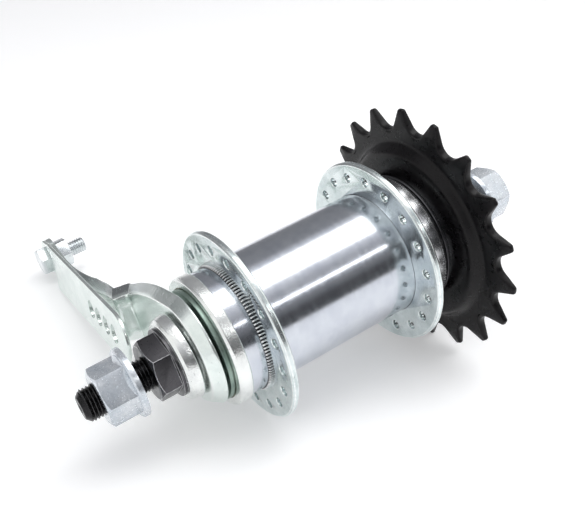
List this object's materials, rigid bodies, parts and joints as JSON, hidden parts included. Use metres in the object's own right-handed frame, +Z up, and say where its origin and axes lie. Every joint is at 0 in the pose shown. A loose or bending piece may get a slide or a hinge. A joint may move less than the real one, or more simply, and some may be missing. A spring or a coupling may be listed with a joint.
{
  "type": "coaster brake hub",
  "caption": "Rear bicycle hub with a coaster brake: threaded axle with nuts, spoke flanges on a polished shell, chain sprocket, pressed brake arm and frame clip.",
  "frame": {"origin": "on the axle's centreline, midway between the two lock nut faces that meet the frame's dropouts", "axes": "+Y along the axle towards the sprocket (the bicycle's right side), +Z up, -X towards the front of the bicycle, where the brake arm points"},
  "size_m": [0.162, 0.148, 0.0792],
  "materials": {
    "bright_zinc": "bright zinc plate with soft grain",
    "satin_zinc": "pressed steel, clear zinc with a faint green tint",
    "polished_shell": "polished and plated, mirror like",
    "black_steel": "black oxide, lightly oiled",
    "black_paint": "satin black",
    "hard_steel": "ground and hardened",
    "ball_steel": "polished balls",
    "cage_steel": "pressed cage",
    "bronze": "turned bronze",
    "dark_cap": "dark pressed steel"
  },
  "bodies": {
    "axle_set": {"axle": "black_steel", "axle_nut_brake": "bright_zinc", "axle_nut_drive": "bright_zinc", "lock_nut_brake": "black_steel", "lock_nut_drive": "bright_zinc", "domed_washer": "bright_zinc", "brake_arm": "satin_zinc", "brake_cone": "hard_steel", "brake_dust_cap": "dark_cap", "drive_cone": "hard_steel", "cone_dust_cap": "dark_cap", "clip_bolt": "bright_zinc", "clip_nut": "bright_zinc"},
    "shell": {"hub_shell": "polished_shell", "flange_brake": "satin_zinc", "flange_drive": "satin_zinc", "cup_brake": "bright_zinc", "cup_drive": "polished_shell"},
    "driver_set": {"driver": "hard_steel", "sprocket": "black_paint", "snap_ring": "black_steel", "driver_dust_cap": "dark_cap"},
    "brake_bearing": {"balls_brake": "ball_steel", "cage_brake": "cage_steel"},
    "shell_bearing": {"balls_shell": "ball_steel", "cage_shell": "cage_steel"},
    "cone_bearing": {"balls_cone": "ball_steel", "cage_cone": "cage_steel"},
    "clutch_slide": {"clutch_spring": "hard_steel"},
    "clutch": {"clutch_cone": "bronze"},
    "shoe_front": {"brake_shoe_front": "bronze"},
    "shoe_rear": {"brake_shoe_rear": "bronze"},
    "strap": {"clip_strap": "satin_zinc"}
  },
  "joints": [
    {"name": "shell_spin", "type": "hinge", "parent": "axle_set", "child": "shell", "pos_m": [0, 0, 0], "axis": [0, 1, 0], "continuous": true},
    {"name": "driver_spin", "type": "hinge", "parent": "axle_set", "child": "driver_set", "pos_m": [0, 0, 0], "axis": [0, 1, 0], "continuous": true},
    {"name": "brake_bearing_spin", "type": "hinge", "parent": "axle_set", "child": "brake_bearing", "pos_m": [0, 0, 0], "axis": [0, 1, 0], "continuous": true},
    {"name": "shell_bearing_spin", "type": "hinge", "parent": "axle_set", "child": "shell_bearing", "pos_m": [0, 0, 0], "axis": [0, 1, 0], "continuous": true},
    {"name": "cone_bearing_spin", "type": "hinge", "parent": "axle_set", "child": "cone_bearing", "pos_m": [0, 0, 0], "axis": [0, 1, 0], "continuous": true},
    {"name": "clutch_shift", "type": "slide", "parent": "axle_set", "child": "clutch_slide", "axis": [0, 1, 0], "range_m": [-0.0016, 0.001]},
    {"name": "clutch_spin", "type": "hinge", "parent": "clutch_slide", "child": "clutch", "pos_m": [0, 0, 0], "axis": [0, 1, 0], "continuous": true},
    {"name": "shoe_front_wedge", "type": "slide", "parent": "axle_set", "child": "shoe_front", "axis": [0.342, 0.9397, 0], "range_m": [-0.00086, 0.00054]},
    {"name": "shoe_rear_wedge", "type": "slide", "parent": "axle_set", "child": "shoe_rear", "axis": [-0.342, 0.9397, 0], "range_m": [-0.00086, 0.00054]},
    {"name": "strap_swing", "type": "hinge", "parent": "axle_set", "child": "strap", "pos_m": [-0.115, -0.04865, 0], "axis": [0, 1, 0], "continuous": true}
  ],
  "couplings": [
    {"joint": "brake_bearing_spin", "follows": "shell_spin", "ratio": 0.5825},
    {"joint": "shell_bearing_spin", "follows": "shell_spin", "ratio": 0.5739},
    {"joint": "cone_bearing_spin", "follows": "driver_spin", "ratio": 0.5809},
    {"joint": "clutch_spin", "follows": "driver_spin", "ratio": 1},
    {"joint": "shoe_front_wedge", "follows": "clutch_shift", "ratio": 0.5321},
    {"joint": "shoe_rear_wedge", "follows": "clutch_shift", "ratio": 0.5321}
  ]
}
